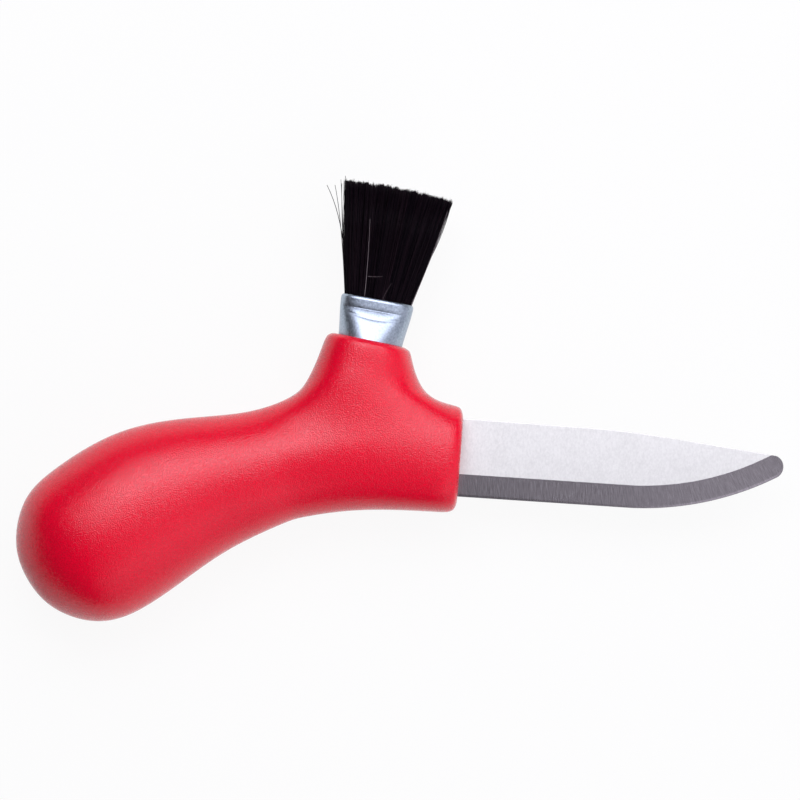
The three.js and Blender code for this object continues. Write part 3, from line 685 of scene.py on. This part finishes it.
def add_handle():
    """The smooth skin, closed at the front by a flat with the blade's slot in it: from the skin's open edge,
    rows of points on the same rays run in to the slot and down to its end."""
    skin, quads = smooth_skin(*handle_cage())
    start, stop = quads.ravel(), np.roll(quads, -1, 1).ravel()
    edge = start[~np.isin(start * len(skin) + stop, stop * len(skin) + start)]
    angle = np.arctan2(skin[edge, 1], skin[edge, 2])
    edge, angle = edge[angle.argsort()], np.sort(angle)
    for y in (SPINE_Y, EDGE_Y + BEVEL_WIDTH):
        for z in (-BLADE_THICKNESS / 2, BLADE_THICKNESS / 2):
            corner = math.atan2(y, z)
            angle[np.abs(angle - corner).argmin()] = corner
    steps = [(0.0, SLOT_GAP + SLOT_LIP)]
    steps += [(x, SLOT_GAP) for x in (0.0, -SLOT_LIP, -SHOULDER_DEPTH)]
    slot = np.concatenate([slot_outline(x, angle, grow) for x, grow in steps])
    points = np.concatenate([skin, slot, [[-SHOULDER_DEPTH, 0.0, 0.0]]])
    loops = np.concatenate([edge[None], len(skin) + np.arange(len(slot)).reshape(len(steps), -1)])
    outer, inner = loops[:-1], loops[1:]
    walls = np.stack([outer, inner, np.roll(inner, -1, 1), np.roll(outer, -1, 1)], -1).reshape(-1, 4)
    end = np.stack([loops[-1], np.full(len(edge), len(points) - 1), np.roll(loops[-1], -1)], -1)
    faces = quads.tolist() + walls.tolist() + end.tolist()
    add_piece("handle_moulding", points, faces, [moulded_plastic()], "handle")


# Blade.


def blade_curves():
    """The edge's direction and the way in from it, where its line turns into the belly's arc, the nose's
    centre, and the radius and centre of the arc, which leaves the line smoothly and touches the nose's
    circle."""
    rise = np.array([math.cos(EDGE_RISE), math.sin(EDGE_RISE)])
    into = np.array([-rise[1], rise[0]])
    start_x = BLADE_LENGTH - BELLY_LENGTH
    start = np.array([start_x, EDGE_Y + start_x * math.tan(EDGE_RISE)])
    nose = np.array([BLADE_LENGTH - NOSE_RADIUS, SPINE_Y - NOSE_DROP])
    reach = nose - start
    radius = (reach @ reach - NOSE_RADIUS**2) / (2 * (reach @ into - NOSE_RADIUS))
    centre = start + radius * into
    return rise, into, start, nose, radius, centre


RISE, INTO, BELLY_START, NOSE, BELLY_RADIUS, BELLY_CENTRE = blade_curves()
BELLY_FROM = EDGE_RISE - math.pi / 2
NOSE_AT = math.atan2(*(NOSE - BELLY_CENTRE)[::-1])
NOSE_SPREAD = math.asin(NOSE_RADIUS / (BELLY_RADIUS - NOSE_RADIUS))


def edge_place(points):
    """Run along the edge from the belly's start, and depth in from it: straight first, then polar about the
    belly's centre."""
    flat = points - BELLY_START
    polar = points - BELLY_CENTRE
    run = flat @ RISE
    turn = np.arctan2(polar[:, 1], polar[:, 0]) - BELLY_FROM
    on_belly = run > 0
    depth = np.where(on_belly, BELLY_RADIUS - np.linalg.norm(polar, axis=1), flat @ INTO)
    return np.where(on_belly, BELLY_RADIUS * turn, run), depth


def from_edge(run, depth):
    """The point at a run along the edge and a depth in from it."""
    angle = BELLY_FROM + run / BELLY_RADIUS
    arc = BELLY_CENTRE + (BELLY_RADIUS - depth)[..., None] * np.stack([np.cos(angle), np.sin(angle)], -1)
    line = BELLY_START + run[..., None] * RISE + depth[..., None] * INTO
    return np.where((run > 0)[..., None], arc, line)


def spine_line():
    """The spine from inside the handle to the furthest point of the nose: line, bend, fall and arc."""
    start = np.array([SPINE_START, SPINE_Y])
    bend = np.array([BLADE_LENGTH - SPINE_FALL_LENGTH, SPINE_Y])
    tip = NOSE + NOSE_RADIUS * np.array([math.cos(NOSE_CORNER), math.sin(NOSE_CORNER)])
    fall = (tip - bend) / np.linalg.norm(tip - bend)
    bend_from, bend_to = bend - [SPINE_BLEND, 0], bend + SPINE_BLEND * fall
    t = np.linspace(0, 1, SPINE_STEPS)[:, None]
    straight = start + t * (bend_from - start)
    curve = bent_line(bend_from, bend, bend_to, t)
    slope = bend_to + t * (tip - bend_to)
    far = NOSE_AT + math.pi / 2 + NOSE_SPREAD
    around = NOSE_CORNER + t * (far - NOSE_CORNER)
    arc = NOSE + NOSE_RADIUS * np.concatenate([np.cos(around), np.sin(around)], 1)
    return np.concatenate([straight, curve[1:], slope[1:], arc[1:]])


def blade_limits():
    """Runs along the edge from the shoulder to the tip, and the depths between which the blade lies there:
    from the edge, or past it the nose's circle, to the spine."""
    run_end = BELLY_RADIUS * (NOSE_AT + NOSE_SPREAD - BELLY_FROM)
    run_nose = BELLY_RADIUS * (NOSE_AT - BELLY_FROM)
    shoulder = -BELLY_START[0] - SHOULDER_DEPTH
    sweep = np.sin(np.linspace(0, math.pi / 2, NOSE_STATIONS))[1:]
    run = np.concatenate(
        [
            np.linspace(shoulder, 0, STRAIGHT_STATIONS),
            np.linspace(0, run_nose, BELLY_STATIONS)[1:],
            run_nose + sweep * (run_end - run_nose),
        ]
    )
    spine_run, spine_depth = edge_place(spine_line())
    order = np.argsort(spine_run)
    top = np.interp(run, spine_run[order], spine_depth[order])
    past = np.clip((run - run_nose) / BELLY_RADIUS, 0, NOSE_SPREAD)
    hub = BELLY_RADIUS - NOSE_RADIUS
    chord = np.sqrt(np.maximum(NOSE_RADIUS**2 - (hub * np.sin(past)) ** 2, 0))
    low = np.where(past > 0, BELLY_RADIUS - hub * np.cos(past) - chord, 0.0)
    return run, low, np.maximum(top, low)


def blade_rings():
    """A half profile at each run along the edge: edge land, bevel that rises by a fixed slope to the grind
    line, flat, and a rounded spine, as depths in from the edge and heights above the middle plane."""
    run, low, top = blade_limits()
    slope = (BLADE_THICKNESS - EDGE_LAND) / 2 / BEVEL_WIDTH
    thin = np.minimum(top - low, FULL_ROUND_DEPTH)
    round_off = SPINE_ROUND * thin
    last = top - round_off
    bevel_from = low + LAND_ROUND * thin
    bevel_end = np.minimum(BEVEL_WIDTH, last)
    bevel_rows = np.linspace(0, 1, BEVEL_ROWS)[:, None]
    bevel = bevel_from + bevel_rows * (bevel_end - GRIND_ROUND * thin - bevel_from)
    flat_from = np.minimum(BEVEL_WIDTH + GRIND_ROUND, last)
    flat = flat_from + np.linspace(0, 1, FLAT_ROWS)[:, None] * (last - SPINE_HOLD * thin - flat_from)
    depth = np.concatenate([[low, low], bevel, [bevel_end], np.maximum(flat, bevel_end), [last]])
    height = np.minimum(BLADE_THICKNESS / 2, EDGE_LAND / 2 + slope * depth)
    height[0] = 0
    height[1] *= LAND_MIDDLE
    shoulder_height = height[-1]
    depth = np.concatenate([depth, [top - ROUND_MIDDLE * round_off, top, top, top]])
    spine_height = [shoulder_height - ROUND_MIDDLE * round_off, shoulder_height - round_off]
    height = np.concatenate([height, spine_height, [LAND_MIDDLE * shoulder_height, 0 * top]])
    return run, depth, height


def tang_rings(shoulder):
    """The blade's end inside the handle: the middle of the tang's round end, that end, and the tang where it
    meets the shoulder, each with the shoulder's points moved in to the tang's height."""
    middle = BLADE_OFFSET - TANG_DROP
    share = np.clip((shoulder[:, 1] - EDGE_Y) / BLADE_HEIGHT, 0, 1)
    y = middle + (share - 0.5) * TANG_HEIGHT
    off_middle = np.abs(shoulder[:, 2]) > TANG_MIDDLE_BAND
    z = np.where(off_middle, np.sign(shoulder[:, 2]), 0) * BLADE_THICKNESS / 2
    round_end = np.sqrt(np.maximum((TANG_HEIGHT / 2) ** 2 - (y - middle) ** 2, 0))
    near = np.stack([np.full(len(y), -SHOULDER_DEPTH), y, z], -1)
    far = np.stack([TANG_HEIGHT / 2 - TANG_LENGTH - round_end, y, z], -1)
    return np.stack([far.mean(0) * [1, 1, 0] + 0 * far, far, near])


def add_blade():
    """The upper half profile and its mirror image make each ring; the tang's rings come before them."""
    run, depth, height = blade_rings()
    depth = np.concatenate([depth, depth[-2:0:-1]])
    height = np.concatenate([height, -height[-2:0:-1]])
    flat = from_edge(np.broadcast_to(run, depth.shape), depth)
    rings = np.concatenate([flat, height[..., None]], -1).transpose(1, 0, 2)
    tang = tang_rings(rings[0])
    points = np.concatenate([tang, rings]).reshape(-1, 3)
    ring = len(depth)
    quads = grid_quads(len(tang) + len(rings), ring, close_columns=True)
    finishes = [satin_steel(), ground_steel_painted_shade()]
    blade = add_piece("blade_ground", points, quads, finishes, "blade")
    station, row = np.divmod(np.arange(len(quads)), ring)
    # The land's two rows come before the bevel's.
    bevel_rows = 2 + BEVEL_ROWS
    on_bevel = ((row < bevel_rows) | (row >= ring - bevel_rows)) & (station >= len(tang))
    blade.data.polygons.foreach_set("material_index", on_bevel.astype(np.int32))
    for name, value in zip(("edge_run", "edge_depth"), edge_place(points[:, :2])):
        attribute = blade.data.attributes.new(name, "FLOAT", "POINT")
        attribute.data.foreach_set("value", (value / 1000).astype(np.float32))
    close_up(blade.data, BLADE_MERGE_GAP)


# Brush.


def ferrule_section(along):
    """Width, thickness and squareness of the ferrule's outside: from round in the boss to a flattened mouth,
    by a smooth step of the distance out."""
    share = np.clip((along + FERRULE_ROUND_DEPTH) / (FERRULE_REACH + FERRULE_ROUND_DEPTH), 0, 1)
    step = smooth_step(share)
    width = FERRULE_DIAMETER + step * (FERRULE_MOUTH_WIDTH - FERRULE_DIAMETER)
    thickness = FERRULE_DIAMETER + step * (FERRULE_MOUTH_THICKNESS - FERRULE_DIAMETER)
    squareness = FERRULE_ROUND_SQUARENESS + step * (FERRULE_MOUTH_SQUARENESS - FERRULE_ROUND_SQUARENESS)
    return width, thickness, squareness


def ferrule_wall(crimp):
    """Heights along the tube and insets of its wall: outside up, over the lip, and down inside."""
    rim = FERRULE_REACH - MOUTH_ROUND * math.sin(MOUTH_TURN)
    up = np.concatenate(
        [
            np.linspace(-FERRULE_DEPTH, FINE_ROWS_FROM, SEAT_ROWS)[:-1],
            np.linspace(FINE_ROWS_FROM, crimp, FACE_ROWS),
            np.linspace(crimp, rim, MOUTH_ROWS)[1:],
        ]
    )
    over = np.linspace(0, MOUTH_TURN, LIP_ROWS)[1:]
    down = [FERRULE_REACH - MOUTH_INNER_DROP, rim, (rim + crimp) / 2, crimp, crimp - CRIMP_FOOT, crimp / 2]
    down = np.array(down + [0, -FERRULE_DEPTH / 2, -FERRULE_DEPTH])
    along = np.concatenate([up, rim + MOUTH_ROUND * np.sin(over), down])
    inset = np.concatenate([0 * up, MOUTH_ROUND * (1 - np.cos(over)), FERRULE_WALL + 0 * down])
    return along, inset


def add_ferrule():
    """A tube: radius 1 / (|cos/a|^n + |sin/b|^n)^(1/n) round the axis. Its two faces are pressed in along a
    crimp line, flare from there to the mouth, and carry a faint bowed crease."""
    crimp = FERRULE_REACH - CRIMP_BELOW_MOUTH
    along, inset = ferrule_wall(crimp)
    turn = np.linspace(0, 2 * np.pi, FERRULE_SIDES, endpoint=False)
    width, thickness, square = (v[:, None] for v in ferrule_section(along))
    half, cheek = width / 2 - inset[:, None], thickness / 2 - inset[:, None]
    radius = (np.abs(np.cos(turn) / half) ** square + np.abs(np.sin(turn) / cheek) ** square) ** (-1 / square)
    across, thick = radius * np.cos(turn), radius * np.sin(turn)
    height = along[:, None]
    side = across / half
    on_face = smooth_step(np.clip((1 - side**2) / FACE_FADE, 0, 1)) * np.sign(thick)
    press = 1 - PRESS_LOSS * np.clip((side - PRESS_LOSS_FROM) / PRESS_LOSS_OVER, 0, 1)
    groove = CRIMP_PRESS * press * np.exp(-np.abs(height - crimp) / CRIMP_SPREAD)
    flare = MOUTH_FLARE * press * np.clip((height - crimp) / CRIMP_BELOW_MOUTH, 0, 1)
    smile = crimp - CREASE_BELOW_CRIMP - CREASE_BOW * (1 - side**2)
    crease = CREASE_PRESS * np.exp(-(((height - smile) / CREASE_SPREAD) ** 2))
    thick = thick + on_face * (flare - groove - crease)
    points = from_brush(across, np.broadcast_to(height, across.shape), thick).reshape(-1, 3)
    quads = grid_quads(len(along), len(turn), close_rows=True, close_columns=True)
    ferrule = add_piece("ferrule_tube", points, quads, [tinplate()], "ferrule")
    close_up(ferrule.data, FERRULE_MERGE_GAP)


def hair_mesh(paths, radii, sides):
    """Tubes about paths with the same number of steps: path + radius * (cos * side + sin * up), with side
    and up square to the path and to each other, closed at the root and the tip by flat ends."""
    count, steps, _ = paths.shape
    along = np.gradient(paths, axis=1)
    along /= np.linalg.norm(along, axis=-1, keepdims=True)
    side = np.cross(along, [0.0, 0.0, 1.0])
    side /= np.linalg.norm(side, axis=-1, keepdims=True)
    up = np.cross(side, along)
    angle = 2 * np.pi * np.arange(sides) / sides + HAIR_TWIST * np.arange(count)[:, None, None]
    offset = np.cos(angle)[..., None] * side[:, :, None] + np.sin(angle)[..., None] * up[:, :, None]
    points = paths[:, :, None, :] + radii[:, :, None, None] * offset
    start = (np.arange(count) * steps * sides)[:, None]
    walls = (grid_quads(steps, sides, close_columns=True)[None] + start[:, :, None]).reshape(-1, 4)
    roots = start + np.arange(sides)[::-1]
    tips = start + (steps - 1) * sides + np.arange(sides)
    faces = [corners[:, ::-1].tolist() for corners in (walls, roots, tips)]
    return points.reshape(-1, 3), sum(faces, [])


def shade_hairs(hairs, shades, points_each):
    """Writes one shade for all points of each hair."""
    shade = hairs.data.attributes.new("hair_shade", "FLOAT", "POINT")
    shade.data.foreach_set("value", np.repeat(shades, points_each).astype(np.float32))


def add_hairs(finish):
    """Hairs from the resin through the ferrule's mouth, fanned out so that a place in the mouth keeps its
    place at the tips, gathered into small locks near the ends and cut to a slightly rounded, uneven line."""
    rng = np.random.default_rng(HAIR_SEED)
    spread = rng.uniform(-1, 1, (HAIR_SPARES * HAIR_COUNT, 2))
    inside = (np.abs(spread) ** FERRULE_MOUTH_SQUARENESS).sum(1) < 1
    across, thick = spread[inside][:HAIR_COUNT].T
    locks = rng.uniform(-1, 1, (LOCK_COUNT, 2))
    apart = (across[:, None] - locks[:, 0]) ** 2 + LOCK_DEPTH_WEIGHT * (thick[:, None] - locks[:, 1]) ** 2
    nearest = apart.argmin(1)
    gather = rng.uniform(*LOCK_GATHER, HAIR_COUNT)
    tip_across = across + gather * (locks[nearest, 0] - across)
    tip_thick = thick + gather * (locks[nearest, 1] - thick)
    root_half = FERRULE_MOUTH_WIDTH / 2 - FERRULE_WALL - HAIR_FLANK_ROOM
    root_cheek = FERRULE_MOUTH_THICKNESS / 2 - FERRULE_WALL - HAIR_FACE_ROOM
    lock_reach = rng.normal(0, LOCK_UNEVEN, LOCK_COUNT)[nearest]
    scallops = rng.normal(0, SCALLOP_UNEVEN, SCALLOP_COUNT)
    scallop = np.interp(tip_across, np.linspace(-1, 1, SCALLOP_COUNT), scallops)
    reach = HAIR_REACH - HAIR_TIP_SAG * (tip_across**2 + tip_thick**2) / 2 - HAIR_TIP_SLANT * tip_across
    uneven = rng.normal(0, TIP_UNEVEN, HAIR_COUNT)
    reach += lock_reach + scallop + uneven - rng.exponential(TIP_WEAR, HAIR_COUNT)
    rise = np.clip(HAIR_STATIONS, 0, 1)
    bow = 4 * rise * (1 - rise)
    sway = rng.normal(0, HAIR_SWAY, (2, HAIR_COUNT))
    splay = rng.normal(0, HAIR_SPLAY, HAIR_COUNT)[:, None] * rise**3
    x = (
        across[:, None] * root_half * (1 - rise)
        + tip_across[:, None] * HAIR_TIP_WIDTH / 2 * rise
        + sway[0][:, None] * bow
        + HAIR_TIP_LEAN * np.clip(across, 0, 1)[:, None] * rise
        + splay
    )
    y = FERRULE_REACH + reach[:, None] * HAIR_STATIONS
    z = thick[:, None] * root_cheek * (1 - rise) + tip_thick[:, None] * HAIR_TIP_THICKNESS / 2 * rise
    z += sway[1][:, None] * bow
    radii = rng.uniform(*HAIR_RADII, HAIR_COUNT)[:, None] * HAIR_TAPER
    points, faces = hair_mesh(np.stack([x, y, z], -1), radii, HAIR_SIDES)
    hairs = add_piece("bristle_hairs", from_brush(*points.T), faces, [finish], "bristle_tuft")
    shades = DYED_SHADE * rng.beta(*SHADE_SPREAD, HAIR_COUNT)
    shade_hairs(hairs, shades, len(HAIR_STATIONS) * HAIR_SIDES)


def add_strays(finish):
    """Loose hairs outside the tuft, each bent between its root and its tip."""
    strays = np.array(STRAYS)
    t = np.linspace(0, 1, STRAY_STEPS)[None, :, None]
    root, bend, tip = (strays[:, None, k : k + 2] for k in (0, 2, 4))
    flat = bent_line(root, bend, tip, t)
    level, radius, shades = strays[:, 6:].T
    paths = np.concatenate([flat, np.broadcast_to(level[:, None, None], flat[..., :1].shape)], -1)
    radii = radius[:, None] * np.linspace(1.0, STRAY_TAPER, STRAY_STEPS)
    points, faces = hair_mesh(paths, radii, STRAY_SIDES)
    loose = add_piece("bristle_strays", from_brush(*points.T), faces, [finish])
    shade_hairs(loose, shades, STRAY_STEPS * STRAY_SIDES)


# Stage, with lengths in metres.

BOARD_OWN_WHITE = 0.92
FLOOR_REACH = 3.0
PHOTO_TURN = math.radians(4.3)
FRAME_WIDTH = 0.18
SENSOR_WIDTH = 36
CAMERA_DISTANCE = 1.0
VIEW_CENTRE = np.array([-0.001755, 0.003155, (BLADE_LOW.z + BLADE_HIGH.z) / 2])
LAMP_TINT = "#f7f4ff"
ROOM_LIGHT = 0.05

# Lamps: name, azimuth and polar angle in degrees, distance, width and height in metres, radiance, and whether
# they show in gloss.
SOFTBOXES = (
    ("key_wide", -12, 27, 0.65, (0.76, 0.58), 1.5, True),
    ("key_middle", -9, 31, 0.65, (0.72, 0.46), 1.85, True),
    ("key_core", 18, 26, 0.65, (0.2, 0.22), 3.8, True),
    ("top_softbox", 210, 25, 0.55, (0.24, 0.5), 0.5, True),
    ("fill_softbox", 238, 58, 1.3, (2.4, 1.5), 0.65, True),
    ("bounce_card", 225, 62, 0.5, (0.6, 0.4), 1.0, False),
    ("back_card", 0, 66, 0.6, (0.7, 0.35), 0.8, False),
)


def add_floor():
    """A wide matt white board under the knife. What the eye and gloss see of it is mostly an even white of
    its own, and shadows only tint it."""
    finish, tree, place = new_finish("white_board")
    colour = blend(tree, noise(tree, place, 60, 2.0), linear("#e2e2e2"), linear("#e6e6e6"))
    board = node(tree, "ShaderNodeBsdfDiffuse", {"Color": colour})
    glow = node(tree, "ShaderNodeEmission", {"Color": (1, 1, 1, 1), "Strength": 1.0})
    path = node(tree, "ShaderNodeLightPath")
    seen = path.outputs["Is Camera Ray"]
    for kind in ("Is Glossy Ray", "Is Transmission Ray"):
        either = node(tree, "ShaderNodeMath", {0: seen, 1: path.outputs[kind]}, operation="MAXIMUM")
        seen = either.outputs[0]
    share = node(tree, "ShaderNodeMath", {0: seen, 1: BOARD_OWN_WHITE}, operation="MULTIPLY")
    both = {0: share.outputs[0], 1: board.outputs[0], 2: glow.outputs[0]}
    mix = node(tree, "ShaderNodeMixShader", both)
    node(tree, "ShaderNodeOutputMaterial", {"Surface": mix.outputs[0]})
    mesh = bpy.data.meshes.new("floor")
    corners = [(x * FLOOR_REACH, y * FLOOR_REACH, 0) for x, y in ((-1, -1), (1, -1), (1, 1), (-1, 1))]
    mesh.from_pydata(corners, [], [(0, 1, 2, 3)])
    mesh.materials.append(finish)
    floor = bpy.data.objects.new("floor", mesh)
    bpy.context.scene.collection.objects.link(floor)


def add_camera():
    """Straight above the knife with a long lens, turned so that the knife lies as in the photograph."""
    data = bpy.data.cameras.new("camera")
    data.sensor_width = SENSOR_WIDTH
    data.lens = SENSOR_WIDTH * CAMERA_DISTANCE / FRAME_WIDTH
    camera = bpy.data.objects.new("camera", data)
    camera.location = VIEW_CENTRE + [0, 0, CAMERA_DISTANCE]
    camera.rotation_euler = (0, 0, PHOTO_TURN)
    bpy.context.scene.collection.objects.link(camera)
    bpy.context.scene.camera = camera


def add_softbox(name, azimuth, polar, distance, size, radiance, in_gloss):
    """A rectangular lamp that faces the knife: watts = radiance * pi * area. Azimuth 0 is the top of the
    picture."""
    data = bpy.data.lights.new(name, "AREA")
    data.shape = "RECTANGLE"
    data.size, data.size_y = size
    data.color = linear(LAMP_TINT)[:3]
    data.energy = radiance * math.pi * size[0] * size[1]
    lamp = bpy.data.objects.new(name, data)
    turn = math.pi / 2 + PHOTO_TURN + math.radians(azimuth)
    polar = math.radians(polar)
    lamp.location = distance * np.array(
        [math.sin(polar) * math.cos(turn), math.sin(polar) * math.sin(turn), math.cos(polar)]
    )
    lamp.rotation_euler = (polar, 0, turn + math.pi / 2)
    lamp.visible_camera = False
    lamp.visible_glossy = in_gloss
    bpy.context.scene.collection.objects.link(lamp)


def add_light():
    """A soft-edged key of three softboxes overhead and towards the top of the picture, two softboxes and two
    cards that fill from round about, and a dim white room."""
    world = bpy.data.worlds.new("studio")
    bpy.context.scene.world = world
    world.use_nodes = True
    tree = world.node_tree
    tree.nodes.clear()
    room = node(tree, "ShaderNodeBackground", {"Color": linear("#ffffff"), "Strength": ROOM_LIGHT})
    node(tree, "ShaderNodeOutputWorld", {"Surface": room.outputs[0]})
    for softbox in SOFTBOXES:
        add_softbox(*softbox)


add_handle()
add_blade()
add_ferrule()
hair_finish = bristle_hair()
add_hairs(hair_finish)
add_strays(hair_finish)
resin_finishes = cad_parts["bristle_setting"].data.materials
resin_finishes.clear()
resin_finishes.append(cured_resin())
add_floor()
add_camera()
add_light()
bpy.context.scene.view_settings.view_transform = "Standard"
